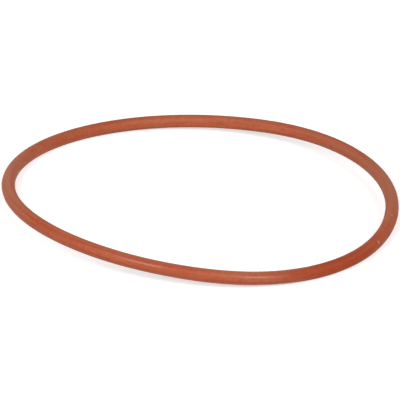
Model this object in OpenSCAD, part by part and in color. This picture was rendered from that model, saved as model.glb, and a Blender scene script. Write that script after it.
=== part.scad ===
// A moulded silicone o-ring, lying loose on a flat surface.
//
// The ring is one piece with one round section. It is soft, so it never lies quite flat: two spans
// rest on the surface, a long one at the back and a short one at the front, and the two side spans
// between them bow up. Each span is a circular arc in a plane of its own, and every arc leaves the
// last one along the same tangent, so the ring has no kink. Its length always stays that of the
// moulded ring, whatever the spans are set to.

/* [Ring] */
// Inside diameter of the ring as moulded
inside_d = 98.02; // [60:0.01:150]
// Diameter of the round section
section_d = 3.53; // [2:0.01:7]

/* [Mould line] */
// Width of the line that the two mould halves leave on the inner and outer edge
line_w = 0.12; // [0.06:0.01:0.2]
// How far that line stands out of the round section
line_h = 0.05; // [0.02:0.01:0.1]

/* [Lay] */
// Sweep of the long span that rests at the back, in degrees
long_sweep = 128; // [110:1:140]
// Sweep of the short span that rests at the front, in degrees
short_sweep = 74; // [60:1:90]
// Lean of the long span, down towards the back, in degrees
long_lean = 4.3; // [1:0.1:8]
// Length from a side span's end to where its end tangents cross, over the long span's radius
side_reach = 0.79; // [0.7:0.01:0.9]

/* [Hidden] */
$fn = 96;
silicone = "#B4603F";

// Directions in the ring's own frame
back = [0, 1, 0];
side = [-1, 0, 0];
up = [0, 0, 1];

// The side spans run this much thinner all round and reach this far into the resting spans, so
// that their ends are buried and the four spans are one solid
weld_step = 0.01;
weld_lap = 0.3;

// Shape of the loop, first worked out for a long span with a radius of 1
long_half = long_sweep / 2;
short_half = short_sweep / 2;
short_share = (sin(long_half) + side_reach * (cos(long_half) - cos(short_half))) / sin(short_half);
// The short span leans as much as brings both resting spans to the same height
short_lean = asin(sin(long_lean) * (1 - cos(long_half) + side_reach * sin(long_half))
  / (short_share * (1 - cos(short_half)) + side_reach * sin(short_half)));

// From the middle of the ring to the lowest point of each resting span
long_out = cos(long_lean) * back - sin(long_lean) * up;
short_out = -cos(short_lean) * back - sin(short_lean) * up;

// Tangents where the long span ends and where the short span starts, going round by the left
leave_long = cos(long_half) * side - sin(long_half) * long_out;
enter_short = -cos(short_half) * side + sin(short_half) * short_out;
side_sweep = acos(leave_long * enter_short);
side_share = side_reach / tan(side_sweep / 2);

// Radii of the spans, from the length of the moulded ring
moulded_sweep = 360;
long_r = (inside_d + section_d) / 2 * moulded_sweep
  / (long_sweep + short_sweep * short_share + 2 * side_sweep * side_share);
short_r = long_r * short_share;
side_r = long_r * side_share;

// Centres of the spans, from the long span's own centre
long_end = long_r * (cos(long_half) * long_out + sin(long_half) * side);
side_in = (enter_short - cos(side_sweep) * leave_long) / sin(side_sweep);
side_centre = long_end + side_r * side_in;
short_start = long_end + long_r * side_reach * (leave_long + enter_short);
short_centre = short_start - short_r * (cos(short_half) * short_out + sin(short_half) * side);

// The mould line stays on the same strip of rubber, so it keeps its place where the planes change
side_up = cross(-side_in, leave_long);
long_edge = long_end / long_r;
side_roll = atan2(long_edge * side_up, long_edge * -side_in);
side_end_out = (short_start - side_centre) / side_r;
short_edge = cos(side_roll) * side_end_out + sin(side_roll) * side_up;
short_end_out = (short_start - short_centre) / short_r;
short_roll = atan2(short_edge * cross(short_out, -side), short_edge * short_end_out);

// Middle of the ring's footprint, on the surface it lies on
footprint_y = (long_r * cos(long_lean) + short_centre.y - short_r * cos(short_lean)) / 2;
rest_z = -long_r * sin(long_lean) - section_d / 2;

// Section of the rubber: a round cord with the mould line on both edges of the parting plane
module section(shrink = 0) {
  circle(d = section_d - 2 * shrink);
  square([section_d + 2 * (line_h - shrink), line_w - 2 * shrink], center = true);
}

// One span: an arc round `centre` in the plane of `out` and `along`, from angle `from` on
module span(centre, out, along, r, from, sweep, roll, shrink = 0) {
  normal = cross(out, along);
  multmatrix([
    [out.x, along.x, normal.x, centre.x],
    [out.y, along.y, normal.y, centre.y],
    [out.z, along.z, normal.z, centre.z],
    [0, 0, 0, 1]
  ])
    rotate_extrude(start = from, angle = sweep)
      translate([r, 0]) rotate(roll) section(shrink);
}

module long_span() {
  span([0, 0, 0], long_out, side, long_r, -long_half, long_sweep, 0);
}

module short_span() {
  span(short_centre, short_out, -side, short_r, -short_half, short_sweep, short_roll);
}

module side_span() {
  lap = weld_lap / side_r * 180 / PI;
  span(side_centre, -side_in, leave_long, side_r, -lap, side_sweep + 2 * lap, side_roll, weld_step);
}

module o_ring() {
  color(silicone)
    translate([0, -footprint_y, -rest_z]) {
      long_span();
      short_span();
      side_span();
      mirror([1, 0, 0]) side_span();
    }
}

o_ring();
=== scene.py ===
# %% [markdown]
# # A silicone o-ring, dressed in Blender
#
# An o-ring is one closed loop of rubber with a round section, moulded in one shot between two
# steel halves. There is nothing to assemble, so the whole look rests on three things: how the soft
# loop lies, the faint marks that the mould leaves, and the satin skin of filled silicone.
# The solid model is loaded first, because it fixes the size and the place of everything. It is
# kept in the scene, hidden.

# %% Load the frame
from math import acos, asin, atan2, cos, pi, radians, sin, tan

import bpy
from mathutils import Matrix, Vector


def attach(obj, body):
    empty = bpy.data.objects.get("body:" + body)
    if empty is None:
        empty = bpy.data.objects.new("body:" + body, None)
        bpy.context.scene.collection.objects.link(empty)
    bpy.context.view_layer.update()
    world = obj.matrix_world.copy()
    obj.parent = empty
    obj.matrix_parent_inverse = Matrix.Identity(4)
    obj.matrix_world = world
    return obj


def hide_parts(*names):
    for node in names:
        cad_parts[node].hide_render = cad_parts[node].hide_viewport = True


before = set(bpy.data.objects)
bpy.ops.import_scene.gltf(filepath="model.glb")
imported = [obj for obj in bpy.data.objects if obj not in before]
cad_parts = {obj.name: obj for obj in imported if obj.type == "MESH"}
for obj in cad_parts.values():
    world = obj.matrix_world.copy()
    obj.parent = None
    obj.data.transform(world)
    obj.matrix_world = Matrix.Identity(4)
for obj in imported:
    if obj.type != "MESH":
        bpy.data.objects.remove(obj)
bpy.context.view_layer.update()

# %% [markdown]
# ## The loop
#
# A ring this soft never lies flat on a table. Two opposite stretches rest, and the two between
# them bow up by about three millimetres, like a very shallow saddle. It could be traced by hand, or
# dropped with a soft body simulation, but the shape follows a rule: four circular arcs, each in a
# plane of its own and each leaving the last along the same tangent. The solid model is built that
# way. The same four arcs are worked out again here, because the rubber needs a finer skin than the
# solid has.

# %% Sizes of the ring, in metres and radians
MM = 0.001
inside_d = 98.02 * MM
section_d = 3.53 * MM
long_half = radians(128 / 2)  # the stretch that rests at the back is an arc of 128 degrees
short_half = radians(74 / 2)  # and the one that rests at the front is an arc of 74
long_lean = radians(4.3)  # tilt of the long arc's plane, which sets how far the sides bow up
side_reach = 0.79  # length of each tangent of a side arc, in radii of the long arc
ring_step = 0.25 * MM  # from one place on the loop to the next

BACK = Vector((0, 1, 0))
LEFT = Vector((-1, 0, 0))
UP = Vector((0, 0, 1))
print("moulded ring:", round(inside_d / MM, 2), "x", round(section_d / MM, 2), "mm")

# %% Shape of the four arcs
short_share = (sin(long_half) + side_reach * (cos(long_half) - cos(short_half))) / sin(short_half)
long_dip = 1 - cos(long_half) + side_reach * sin(long_half)
short_dip = short_share * (1 - cos(short_half)) + side_reach * sin(short_half)
short_lean = asin(sin(long_lean) * long_dip / short_dip)

long_out = cos(long_lean) * BACK - sin(long_lean) * UP
short_out = -cos(short_lean) * BACK - sin(short_lean) * UP
leave_long = cos(long_half) * LEFT - sin(long_half) * long_out
enter_short = -cos(short_half) * LEFT + sin(short_half) * short_out
side_sweep = acos(leave_long.dot(enter_short))
side_share = side_reach / tan(side_sweep / 2)

loop_length = pi * (inside_d + section_d)
long_r = loop_length / 2 / (long_half + short_half * short_share + side_sweep * side_share)
short_r = long_r * short_share
side_r = long_r * side_share
print("arc radii, mm:", [round(r / MM, 2) for r in (long_r, side_r, short_r)])


# %% Places along the arcs
def walk_arc(centre, out, along, radius, start, sweep, edge):
    """Even places along one arc, each with the way from the core to the outer mould line."""
    count = round(sweep * radius / ring_step)
    first_out = cos(start) * out + sin(start) * along
    normal = out.cross(along)
    roll = atan2(edge.dot(normal), edge.dot(first_out))
    for i in range(count + 1):
        angle = start + sweep * i / count
        outward = cos(angle) * out + sin(angle) * along
        yield centre + radius * outward, cos(roll) * outward + sin(roll) * normal


def mirrored(places):
    """The same stretch on the other side of the ring, walked the other way."""
    return [(Vector((-p.x, p.y, p.z)), Vector((-e.x, e.y, e.z))) for p, e in reversed(places)]


# %% The long arc, a side arc and the short arc, each from where the last one ends
origin = Vector((0, 0, 0))
long_edge = cos(long_half) * long_out - sin(long_half) * LEFT
long_arc = list(walk_arc(origin, long_out, LEFT, long_r, -long_half, 2 * long_half, long_edge))

side_in = (enter_short - cos(side_sweep) * leave_long) / sin(side_sweep)
side_centre = long_arc[-1][0] + side_r * side_in
side_edge = long_arc[-1][1]
side_arc = list(walk_arc(side_centre, -side_in, leave_long, side_r, 0, side_sweep, side_edge))

short_centre = side_arc[-1][0] - short_r * (cos(short_half) * short_out + sin(short_half) * LEFT)
short_edge = side_arc[-1][1]
short_arc = list(
    walk_arc(short_centre, short_out, -LEFT, short_r, -short_half, 2 * short_half, short_edge)
)
loop = long_arc[:-1] + side_arc[:-1] + short_arc[:-1] + mirrored(side_arc)[:-1]
print("places on the arcs:", len(long_arc), len(side_arc), len(short_arc), len(side_arc))

# %% Set the loop down on the floor, centred on its footprint
front = min(p.y for p, e in loop)
rear = max(p.y for p, e in loop)
lowest = min(p.z for p, e in loop)
shift = Vector((0, -(front + rear) / 2, section_d / 2 - lowest))
loop = [(p + shift, e) for p, e in loop]
bow = max(p.z for p, e in loop) - section_d / 2
print("loop:", len(loop), "places; height of the bow, mm:", round(bow / MM, 2))

# %% [markdown]
# ## The cord
#
# The section is round, with a line on its inner and its outer edge where the two mould halves
# meet. A bevelled curve would give the round cord in one click, but not the line, and a sculpted
# mesh would give the line but not the even section. Geometry Nodes give both: they sweep a section
# along the loop, and then lift the skin. The mould line is real relief, a bead of a few hundredths
# of a millimetre that fades and comes back. The skin wanders by even less, because soft rubber is
# stretched when it is pulled out of its mould. The section's points are crowded towards the mould
# line, so that the narrow bead is round without wasting faces on the rest.


# %% A helper that adds a node
def add_node(tree, kind, inputs=(), out=0, **settings):
    """Adds a node, links or fills its inputs by order or by name, and returns one output."""
    node = tree.nodes.new(kind)
    for key, value in settings.items():
        setattr(node, key, value)
    for key, value in inputs.items() if isinstance(inputs, dict) else enumerate(inputs):
        if isinstance(value, bpy.types.NodeSocket):
            tree.links.new(value, node.inputs[key])
        else:
            node.inputs[key].default_value = value
    return node.outputs[out] if node.outputs else None


MATH = "ShaderNodeMath"
VECTOR_MATH = "ShaderNodeVectorMath"
MAP_RANGE = "ShaderNodeMapRange"
NOISE = "ShaderNodeTexNoise"
STORE = "GeometryNodeStoreNamedAttribute"
NAMED = "GeometryNodeInputNamedAttribute"
NOISE_SPAN = (0.3, 0.7)  # nearly all of a noise texture lies between these two values

# %% The path that the cord follows
path = bpy.data.meshes.new("loop_path")
path.from_pydata([p for p, e in loop], [(i, (i + 1) % len(loop)) for i in range(len(loop))], [])
edges = path.attributes.new("edge", "FLOAT_VECTOR", "POINT")
edges.data.foreach_set("vector", [c for p, e in loop for c in e])
cord = bpy.data.objects.new("silicone_cord", path)
bpy.context.scene.collection.objects.link(cord)
print("path:", len(path.vertices), "points", round(loop_length / len(path.vertices) / MM, 3), "mm apart")

# %% The cord's node tree and its inputs
cord_sizes = {
    "Section": section_d,
    "Line width": 0.12 * MM,
    "Line height": 0.05 * MM,
    "Line patch": 2.5 * MM,
    "Wander": 0.05 * MM,
    "Wander length": 6 * MM,
    "Seed": 4.0,
}
tree = bpy.data.node_groups.new("Moulded cord", "GeometryNodeTree")
tree.is_modifier = True
tree.interface.new_socket("Cord", in_out="OUTPUT", socket_type="NodeSocketGeometry")
tree.interface.new_socket("Loop", in_out="INPUT", socket_type="NodeSocketGeometry")
for name in cord_sizes:
    tree.interface.new_socket(name, in_out="INPUT", socket_type="NodeSocketFloat")
tree.interface.new_socket("Points round", in_out="INPUT", socket_type="NodeSocketInt")
tree.interface.new_socket("Rubber", in_out="INPUT", socket_type="NodeSocketMaterial")
given = tree.nodes.new("NodeGroupInput").outputs
print("cord inputs:", ", ".join(socket.name for socket in given if socket.name))

# %% The round section, its points crowded towards the mould line
CROWD = 0.8  # 0 spreads the points evenly, and 1 would bring them together at the line
circle = add_node(tree, "GeometryNodeCurvePrimitiveCircle", {"Resolution": given["Points round"]})
factor = add_node(tree, "GeometryNodeSplineParameter", out="Factor")
turn = add_node(tree, MATH, [factor, 2 * pi], operation="MULTIPLY")
twice = add_node(tree, MATH, [turn, 2], operation="MULTIPLY")
wave = add_node(tree, MATH, [twice], operation="SINE")
crowding = add_node(tree, MATH, [wave, CROWD / 2], operation="MULTIPLY")
angle = add_node(tree, MATH, [turn, crowding], operation="SUBTRACT")
radius = add_node(tree, MATH, [given["Section"], 0.5], operation="MULTIPLY")
cosine = add_node(tree, MATH, [angle], operation="COSINE")
sine = add_node(tree, MATH, [angle], operation="SINE")
across = add_node(tree, MATH, [radius, cosine], operation="MULTIPLY")
above = add_node(tree, MATH, [radius, sine], operation="MULTIPLY")
spot = add_node(tree, "ShaderNodeCombineXYZ", [across, above])
print("points at the line:", round((1 + CROWD) / (1 - CROWD)), "times as close as half way between")

# %% How much of the bead each point carries, and its place round the section
# Both are kept before the points move, because the spline parameter changes with them.
half_line = add_node(tree, MATH, [given["Line width"], 0.5], operation="MULTIPLY")
off_line = add_node(tree, MATH, [above, half_line], operation="DIVIDE")
square = add_node(tree, MATH, [off_line, off_line], operation="MULTIPLY")
fall = add_node(tree, MATH, [square, -1], operation="MULTIPLY")
bell = add_node(tree, MATH, [fall], operation="EXPONENT")
bead_kept = {"Geometry": circle, "Name": "bead", "Value": bell}
section = add_node(tree, STORE, bead_kept, data_type="FLOAT", domain="POINT")
spot_kept = {"Geometry": section, "Name": "section", "Value": spot}
section = add_node(tree, STORE, spot_kept, data_type="FLOAT_VECTOR", domain="POINT")
section = add_node(tree, "GeometryNodeSetPosition", {"Geometry": section, "Position": spot})
print("bead:", round(cord_sizes["Line width"] / MM, 2), "mm wide")

# %% The sweep along the loop
curve = add_node(tree, "GeometryNodeMeshToCurve", {"Mesh": given["Loop"]})
edge = add_node(tree, NAMED, {"Name": "edge"}, data_type="FLOAT_VECTOR")
curve = add_node(tree, "GeometryNodeSetCurveNormal", {"Curve": curve, "Normal": edge}, mode="FREE")
place = add_node(tree, "GeometryNodeInputPosition")
core_kept = {"Geometry": curve, "Name": "core", "Value": place}
curve = add_node(tree, STORE, core_kept, data_type="FLOAT_VECTOR", domain="POINT")
skin = add_node(tree, "GeometryNodeCurveToMesh", {"Curve": curve, "Profile Curve": section})
print("sweep:", len(loop), "sections, one at each place")

# %% The wander of the skin
core = add_node(tree, NAMED, {"Name": "core"}, data_type="FLOAT_VECTOR")
rise = add_node(tree, VECTOR_MATH, [place, core], operation="SUBTRACT")
outward = add_node(tree, VECTOR_MATH, [rise], operation="NORMALIZE")
per_wander = add_node(tree, MATH, [1, given["Wander length"]], operation="DIVIDE")
slow_inputs = {"Vector": place, "W": given["Seed"], "Scale": per_wander, "Detail": 1}
slow = add_node(tree, NOISE, slow_inputs, noise_dimensions="4D")
centred = add_node(tree, MATH, [slow, 0.5], operation="SUBTRACT")
wander = add_node(tree, MATH, [centred, given["Wander"]], operation="MULTIPLY")
wander_span = cord_sizes["Wander"] * (NOISE_SPAN[1] - NOISE_SPAN[0])
print("wander: about", round(wander_span / MM, 2), "mm from the lowest to the highest skin")

# %% The mould line, which fades and comes back
FAINTEST = 0.1  # share of its full height that the line keeps where it fades
bead = add_node(tree, NAMED, {"Name": "bead"}, data_type="FLOAT")
full_line = add_node(tree, MATH, [bead, given["Line height"]], operation="MULTIPLY")
per_patch = add_node(tree, MATH, [1, given["Line patch"]], operation="DIVIDE")
patchy_inputs = {"Vector": core, "W": given["Seed"], "Scale": per_patch, "Detail": 3}
patchy = add_node(tree, NOISE, patchy_inputs, noise_dimensions="4D")
strength = add_node(tree, MAP_RANGE, [patchy, *NOISE_SPAN, FAINTEST, 1])
line = add_node(tree, MATH, [full_line, strength], operation="MULTIPLY")
lift = add_node(tree, MATH, [wander, line], operation="ADD")
offset = add_node(tree, VECTOR_MATH, {"Vector": outward, "Scale": lift}, operation="SCALE")
skin = add_node(tree, "GeometryNodeSetPosition", {"Geometry": skin, "Offset": offset})
line_heights = [round(cord_sizes["Line height"] * share / MM, 3) for share in (FAINTEST, 1)]
print("mould line, mm high:", line_heights)

# %% Smooth shading, and the rubber on it
skin = add_node(tree, "GeometryNodeSetShadeSmooth", [skin])
skin = add_node(tree, "GeometryNodeRealizeInstances", [skin])
finish = {"Geometry": skin, "Material": given["Rubber"]}
skin = add_node(tree, "GeometryNodeSetMaterial", finish)
add_node(tree, "NodeGroupOutput", [skin])
print("cord tree:", len(tree.nodes), "nodes")

# %% [markdown]
# ## The rubber
#
# The ring is silicone coloured with iron oxide, the brick red of seals that work hot. It is
# compression moulded in spark-eroded steel, so its skin is satin: matt enough to have no sharp
# reflection, smooth enough to hold a soft streak of light. One flat colour would look like paint.
# Real filled rubber is mottled where the pigment mixed unevenly, and drawn out into faint streaks
# along the cord where it flowed in the mould. Both are built from noise, in sizes taken in
# millimetres. The mottling reads Object coordinates, so it runs through the rubber as the pigment
# does. The streaks read each point's place round the section, so they follow the cord.


# %% Colours
def srgb(hex_code):
    """Turns an sRGB hex colour to the linear values that a shader socket takes."""
    parts = [int(hex_code[i : i + 2], 16) / 255 for i in (1, 3, 5)]
    return [c / 12.92 if c <= 0.04045 else ((c + 0.055) / 1.055) ** 2.4 for c in parts] + [1.0]


BRICK = srgb("#AF4D2F")  # dense pigment
TERRACOTTA = srgb("#BA6947")  # thin pigment
CLEAN_RED_AND_PAINTED_SHADE = srgb("#A84420")  # wiped clean at the back; painted shade at front right
CHALKY_AND_PAINTED_REFLECTION = srgb("#BD6C4D")  # under a film of talc, with a painted grey reflection
DUSTY_AND_PAINTED_REFLECTION = srgb("#B2684B")  # under a film of dust, with a painted grey reflection
TALC = srgb("#D9AC97")  # a crumb of talc, with the red showing through
GRIME = srgb("#84492F")  # a smudge of grime
WHITE = srgb("#FFFFFF")
print("brick in linear light:", [round(c, 3) for c in BRICK[:3]])

# %% Moulded silicone rubber: filled with iron oxide, satin, no clear reflection
rubber = bpy.data.materials.new("moulded_silicone_rubber")
rubber.use_nodes = True
shader = rubber.node_tree
shader.nodes.clear()
where = add_node(shader, "ShaderNodeTexCoord", out="Object")
print("material:", rubber.name)

# %% Pigment: clouds of 9 mm and grains of 1 mm
# A single grain of pigment is far too fine to show, so the grains here stand for clumps of it.
CLOUD = 9 * MM
CLOUD_SEED = 571
GRAIN = 1 * MM
GRAIN_DEPTH = 0.25
cloud_inputs = {"Vector": where, "W": CLOUD_SEED, "Scale": 1 / CLOUD, "Detail": 3}
clouds = add_node(shader, NOISE, cloud_inputs, noise_dimensions="4D")
grains = add_node(shader, NOISE, {"Vector": where, "Scale": 1 / GRAIN, "Detail": 3})
grain_span = [grains, *NOISE_SPAN, -GRAIN_DEPTH, GRAIN_DEPTH]
grain_part = add_node(shader, MAP_RANGE, grain_span, clamp=False)
mottle = add_node(shader, MATH, [clouds, grain_part], operation="ADD")
print("pigment, mm: clouds", round(CLOUD / MM, 2), "and grains", round(GRAIN / MM, 2))

# %% Flow: streaks 25 mm long and 0.8 mm wide, along the cord
STREAK_LONG = 25 * MM
STREAK_WIDE = 0.8 * MM
STREAK_DEPTH = 0.5
section_spot = add_node(shader, "ShaderNodeAttribute", out="Vector", attribute_name="section")
long_scale = [1 / STREAK_LONG, 1 / STREAK_LONG, 0]
along = add_node(shader, VECTOR_MATH, [where, long_scale], operation="MULTIPLY")
along_parts = add_node(shader, "ShaderNodeSeparateXYZ", [along]).node.outputs
wide_scale = [1 / STREAK_WIDE, 1 / STREAK_WIDE, 0]
around = add_node(shader, VECTOR_MATH, [section_spot, wide_scale], operation="MULTIPLY")
around_parts = add_node(shader, "ShaderNodeSeparateXYZ", [around]).node.outputs
flow_parts = [along_parts["X"], along_parts["Y"], around_parts["X"]]
flow = add_node(shader, "ShaderNodeCombineXYZ", flow_parts)
streak_inputs = {"Vector": flow, "W": around_parts["Y"], "Scale": 1, "Detail": 2}
streaks = add_node(shader, NOISE, streak_inputs, noise_dimensions="4D")
streak_span = [streaks, *NOISE_SPAN, -STREAK_DEPTH, STREAK_DEPTH]
streak_part = add_node(shader, MAP_RANGE, streak_span, clamp=False)
pigment = add_node(shader, MATH, [mottle, streak_part], operation="ADD", use_clamp=True)
print("streaks, mm:", round(STREAK_LONG / MM, 2), "long and", round(STREAK_WIDE / MM, 2), "wide")

# %% The two reds, mixed by the pigment
# A Mix node has a set of sockets for each data type: these are the ones for colours.
MIX = "ShaderNodeMix"
SHARE, FIRST, SECOND, MIXED = 0, 6, 7, 2
reds = {SHARE: pigment, FIRST: BRICK, SECOND: TERRACOTTA}
colour = add_node(shader, MIX, reds, out=MIXED, data_type="RGBA")
print("colours go to sockets", [s.name for s in colour.node.inputs if s.type == "RGBA"])

# %% [markdown]
# ## The wear, painted shade and painted reflection
#
# The ring has been in a bag and in a hand. Talc from the bag dulls one side and dust the other, and
# a few crumbs of the talc still cling. These two pale films also stand in for a painted grey
# reflection at the two ends. At the front, where the ring was picked up, fingers have rubbed the
# skin a little smoother, which also deepens its colour. The front right is painted a deeper,
# darker red as painted shade, where little light is reflected. A lighter touch has cleaned a short
# stretch of the back, and left a small smudge next to it. Painting a mask would do, but it needs an
# image. Instead each patch is the distance from a place on the loop, made ragged by the same clouds
# as the pigment, so that no edge of it is a clean curve.


# %% Patches that fade out from a place on the loop
RAGGED = 10 * MM
FULL_SHARE = 0.25
ragged_span = [clouds, *NOISE_SPAN, -RAGGED / 2, RAGGED / 2]
ragged = add_node(shader, MAP_RANGE, ragged_span, clamp=False)
print("edges of the patches: ragged by", round(RAGGED / 2 / MM, 1), "mm either way")


def loop_place(bearing):
    """The core's place at a bearing round the ring, in degrees from +X, and the way outwards."""
    outward = Vector((cos(radians(bearing)), sin(radians(bearing)), 0))
    return max((p for p, e in loop), key=lambda p: p.xy.normalized().dot(outward.xy)), outward


def wear_and_shade_patch(bearing, reach, strength):
    """Full near a bearing round the ring, for a share of its reach, and gone at its reach."""
    away = [where, loop_place(bearing)[0]]
    away = add_node(shader, VECTOR_MATH, away, out="Value", operation="DISTANCE")
    away = add_node(shader, MATH, [away, ragged], operation="ADD")
    fade = [away, FULL_SHARE * reach, reach, strength, 0]
    return add_node(shader, MAP_RANGE, fade, interpolation_type="SMOOTHSTEP")


# %% Talc and dust at the sides, partly painted reflection; painted shade at the front right,
# clean red at the back, deep red where it is rubbed most
rubbed_left = wear_and_shade_patch(217, 16 * MM, 0.4)
rubbed_right = wear_and_shade_patch(247, 14 * MM, 0.38)
tints = [
    # talc film at one end, with a painted grey reflection
    (wear_and_shade_patch(140, 26 * MM, 0.8), CHALKY_AND_PAINTED_REFLECTION),
    # dust film at the other end, with a painted grey reflection
    (wear_and_shade_patch(-22, 34 * MM, 0.75), DUSTY_AND_PAINTED_REFLECTION),
    # painted shade: the front right is a deeper, darker red where little light is reflected
    (wear_and_shade_patch(275, 29 * MM, 0.8), CLEAN_RED_AND_PAINTED_SHADE),
    (wear_and_shade_patch(88, 15 * MM, 0.25), CLEAN_RED_AND_PAINTED_SHADE),
    (rubbed_left, BRICK),
]
print("patches:", len(tints))

# %% Streaks in the patches
# Talc clings to the streaks of flow unevenly, and fingers slide along the cord. The painted shade
# and painted reflection in the patches follow the same streaks.
STREAKY = 0.9  # 0 leaves a patch even, and 1 lets it fade to nothing between the streaks
streaky_span = [streaks, *NOISE_SPAN, 1 - STREAKY, 1 + STREAKY]
streaky = add_node(shader, MAP_RANGE, streaky_span, clamp=False)
for i, (share, tint) in enumerate(tints):
    share = add_node(shader, MATH, [share, streaky], operation="MULTIPLY", use_clamp=True)
    tints[i] = (share, tint)
print("each patch: from", round(1 - STREAKY, 2), "to", round(1 + STREAKY, 2), "times its strength")

# %% Crumbs of talc and a smudge: bearing round the ring and round the section, in degrees, and size
specks = [
    (-69, 36, 0.7 * MM, TALC),
    (-52.5, 76, 0.5 * MM, TALC),
    (60, 20, 0.6 * MM, TALC),
    (12, 35, 0.5 * MM, TALC),
    (41.2, 168, 0.8 * MM, GRIME),
    (39.9, 172, 0.9 * MM, GRIME),
]
SPECK_SHARE = 0.5
for bearing, height, size, tint in specks:
    core_place, outward_way = loop_place(bearing)
    up_round = cos(radians(height)) * outward_way + sin(radians(height)) * UP
    away = [where, core_place + section_d / 2 * up_round]
    away = add_node(shader, VECTOR_MATH, away, out="Value", operation="DISTANCE")
    share = add_node(shader, MAP_RANGE, [away, 0, size, SPECK_SHARE, 0])
    tints.append((share, tint))
print("specks:", len(specks))

# %% Each tint laid over the last
for share, tint in tints:
    tinted = {SHARE: share, FIRST: colour, SECOND: tint}
    colour = add_node(shader, MIX, tinted, out=MIXED, data_type="RGBA")
print("wear:", len(tints), "tints")

# %% Skin rubbed smooth in two places at the front
SATIN = 0.62
rubbed = add_node(shader, MATH, [rubbed_left, rubbed_right], operation="ADD")
rough = add_node(shader, MATH, [SATIN, rubbed], operation="SUBTRACT")
print("roughness:", SATIN, "and lower where it is rubbed")

# %% The fine grain that the spark-eroded mould leaves, and the finished shader
# Silicone has an IOR of about 1.41. Its filler breaks up the skin, so it reflects less than that.
# The real grain is about a fifth as wide, too fine to show, so it is drawn coarser than it is.
MOULD_GRAIN = 0.35 * MM
MOULD_GRAIN_DEPTH = 0.01 * MM
mould_grain = add_node(shader, NOISE, {"Vector": where, "Scale": 1 / MOULD_GRAIN, "Detail": 2})
bump_inputs = {"Strength": 1.0, "Distance": MOULD_GRAIN_DEPTH, "Height": mould_grain}
bump = add_node(shader, "ShaderNodeBump", bump_inputs)
surface = {
    "Base Color": colour,
    "Roughness": rough,
    "IOR": 1.41,
    "Specular IOR Level": 0.3,
    "Normal": bump,
}
satin = add_node(shader, "ShaderNodeBsdfPrincipled", surface)
add_node(shader, "ShaderNodeOutputMaterial", {"Surface": satin})
print("rubber:", len(shader.nodes), "nodes")

# %% [markdown]
# ## Making the cord
#
# A Geometry Nodes modifier is only a recipe: the object still holds the bare path. The modifier's
# inputs are filled by each socket's identifier, because two sockets may share a name. Then the
# evaluated result is kept as a plain mesh and the modifier is taken away, so that the object holds
# exactly what is seen. The cord rides on the ring's one body and stands for the plain solid.

# %% Make the cord
POINTS_ROUND = 64
modifier = cord.modifiers.new("Moulded cord", "NODES")
modifier.node_group = tree
inputs = {s.name: s.identifier for s in tree.interface.items_tree if s.in_out == "INPUT"}
for name, value in cord_sizes.items():
    modifier[inputs[name]] = value
modifier[inputs["Points round"]] = POINTS_ROUND
modifier[inputs["Rubber"]] = rubber
bpy.context.view_layer.update()
evaluated = cord.evaluated_get(bpy.context.evaluated_depsgraph_get())
skin_mesh = bpy.data.meshes.new_from_object(evaluated)
cord.modifiers.clear()
cord.data = skin_mesh
print("cord:", len(skin_mesh.polygons), "faces")

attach(cord, "root")
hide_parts("o_ring")

# %% [markdown]
# ## The floor
#
# The ring lies on a sheet of white paper. A pale diffuse floor under plain lamps would come out light
# grey, and more lamps would wash out the rubber. So the paper also glows a little, but only towards
# the camera and in reflections. It reads as white, and it still darkens where the ring keeps the
# light off it. The sheet ends before the lamps grow dim, and the white air goes on from its edge.


# %% A helper for what only the camera and reflections see
def seen_directly(tree):
    """1 for rays from the camera, in reflections and through glass, and 0 for all others."""
    rays = add_node(tree, "ShaderNodeLightPath").node.outputs
    seen = [rays["Is Camera Ray"], rays["Is Glossy Ray"]]
    either = add_node(tree, MATH, seen, operation="MAXIMUM")
    return add_node(tree, MATH, [either, rays["Is Transmission Ray"]], operation="MAXIMUM")


# %% White paper
FLOOR_HALF = 0.4
PAPER = srgb("#E7E7E7")
PAPER_GLOW = 0.6
corners = [(-FLOOR_HALF, -FLOOR_HALF, 0), (FLOOR_HALF, -FLOOR_HALF, 0)]
corners += [(FLOOR_HALF, FLOOR_HALF, 0), (-FLOOR_HALF, FLOOR_HALF, 0)]
floor_mesh = bpy.data.meshes.new("paper_floor")
floor_mesh.from_pydata(corners, [], [(0, 1, 2, 3)])
floor = bpy.data.objects.new("paper_floor", floor_mesh)
bpy.context.scene.collection.objects.link(floor)

paper = bpy.data.materials.new("white_paper")
paper.use_nodes = True
sheet = paper.node_tree
sheet.nodes.clear()
glow = add_node(sheet, MATH, [seen_directly(sheet), PAPER_GLOW], operation="MULTIPLY")
glow = add_node(sheet, "ShaderNodeEmission", {"Color": WHITE, "Strength": glow})
matt = add_node(sheet, "ShaderNodeBsdfDiffuse", {"Color": PAPER})
both = add_node(sheet, "ShaderNodeAddShader", [matt, glow])
add_node(sheet, "ShaderNodeOutputMaterial", {"Surface": both})
floor_mesh.materials.append(paper)
print("floor:", 2 * FLOOR_HALF, "m square")

# %% [markdown]
# ## The studio
#
# The ring stands in a white studio, with two large softboxes at the camera's left and right. They
# could be one lamp overhead, but two at the side run a soft streak of light along the front of the
# cord, which is what tells satin from matt. The air itself is white to the camera and in
# reflections, and otherwise dim, so that it fills the shadows and adds no glare. Two weak lamps lift
# the left end and the far rim.

# %% White air, dim as a source of light
FILL = 0.14
world = bpy.data.worlds.new("white_studio")
bpy.context.scene.world = world
world.use_nodes = True
sky = world.node_tree
sky.nodes.clear()
level = add_node(sky, MATH, [seen_directly(sky), FILL], operation="MAXIMUM")
air = add_node(sky, "ShaderNodeBackground", {"Color": WHITE, "Strength": level})
add_node(sky, "ShaderNodeOutputWorld", {"Surface": air})
print("air: strength", FILL, "as a source of light, 1 to the camera")


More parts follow.
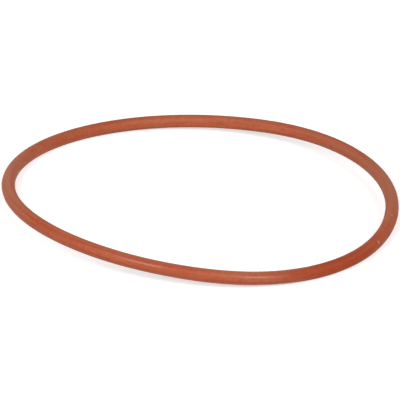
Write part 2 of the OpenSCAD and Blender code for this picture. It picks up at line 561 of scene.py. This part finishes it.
# %% Directions from the ring, and the softboxes
VIEW_AZIMUTH = -45.0
SOFTBOX_AWAY = 1.4
SOFTBOX_SIDE = 0.7


def direction(azimuth, elevation):
    """The way from the ring, in degrees: 0, 0 is along -Y, and azimuth turns towards +X."""
    a, e = radians(azimuth), radians(elevation)
    return Vector((sin(a) * cos(e), -cos(a) * cos(e), sin(e)))


def softbox(name, azimuth, elevation, level):
    """A square lamp, placed by its angle from the camera, that gives the ring level W/m2."""
    lamp = bpy.data.lights.new(name, "AREA")
    lamp.size = SOFTBOX_SIDE
    lamp.energy = level * pi * SOFTBOX_AWAY**2
    stand = bpy.data.objects.new(name, lamp)
    stand.location = SOFTBOX_AWAY * direction(VIEW_AZIMUTH + azimuth, elevation)
    stand.rotation_euler = stand.location.to_track_quat("Z", "Y").to_euler()
    bpy.context.scene.collection.objects.link(stand)
    print(name, round(lamp.energy, 2), "W")


softbox("key_left", -29, 38, 1.71)
softbox("key_right", 38, 38, 1.31)
softbox("end_left", -60, 15, 0.10)
softbox("rim_back", -160, 20, 0.10)

# %% [markdown]
# ## The camera
#
# A long lens from a metre away keeps the far side of the ring nearly as large as the near side, as
# in a catalogue shot. The camera looks down by 24 degrees and is rolled a little, so the ring runs
# downhill to the right.

# %% Camera
VIEW_ELEVATION = 23.9
VIEW_ROLL = 5.0
view_distance = 10 * (inside_d + section_d)
towards_camera = direction(VIEW_AZIMUTH, VIEW_ELEVATION)
middle = Vector((0, 0, section_d / 2 + bow / 2))
lens = bpy.data.cameras.new("camera")
lens.sensor_width = 36
lens.lens = 345.9
lens.shift_y = -0.0165
lens.clip_start = 0.05
lens.clip_end = 50
camera = bpy.data.objects.new("camera", lens)
camera.matrix_world = (
    Matrix.Translation(middle + view_distance * towards_camera)
    @ towards_camera.to_track_quat("Z", "Y").to_matrix().to_4x4()
    @ Matrix.Rotation(radians(VIEW_ROLL), 4, "Z")
)
bpy.context.scene.collection.objects.link(camera)
bpy.context.scene.camera = camera
bpy.context.scene.view_settings.view_transform = "Standard"
print("camera:", round(view_distance, 3), "m away")
